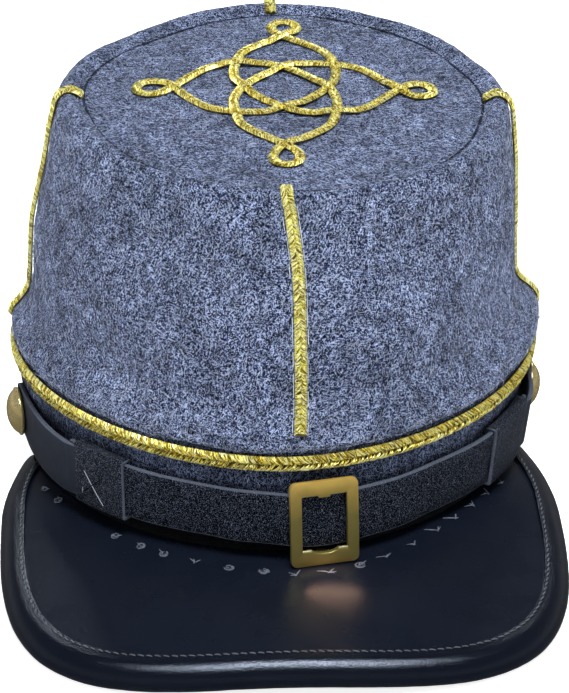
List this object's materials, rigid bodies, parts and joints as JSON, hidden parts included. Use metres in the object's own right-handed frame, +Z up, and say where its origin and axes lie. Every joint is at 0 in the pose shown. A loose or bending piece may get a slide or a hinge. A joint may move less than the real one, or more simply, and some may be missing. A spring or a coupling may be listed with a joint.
{
  "type": "kepi cap",
  "caption": "Wool kepi with a forward-leaning crown, gold braid with a knot on the top, a leather visor with a rolled edge and a chin strap with a brass buckle.",
  "frame": {"origin": "centre of the bounding box in plan, on the surface that the cap rests on", "axes": "+Z up, +Y to the back of the cap, so that the visor points along -Y, and +X to the right as seen from in front of the visor"},
  "size_m": [0.1698, 0.2438, 0.1288],
  "materials": {
    "wool": "matt heathered blue-grey wool felt",
    "gold_braid": "gold metallic thread, braided",
    "visor_leather": "near-black satin leather with a fine grain",
    "strap_leather": "matt grained black leather",
    "brass": "aged brass, satin"
  },
  "bodies": {
    "root": {"band": "wool", "crown_side": "wool", "crown_top": "wool", "band_braid": "gold_braid", "braid_front": "gold_braid", "braid_back": "gold_braid", "braid_right": "gold_braid", "braid_left": "gold_braid", "knot_braid": "gold_braid", "visor": "visor_leather", "visor_binding": "visor_leather", "strap_middle": "strap_leather", "strap_left": "strap_leather", "strap_right": "strap_leather", "buckle": "brass", "button_left": "brass", "button_right": "brass"}
  },
  "joints": []
}
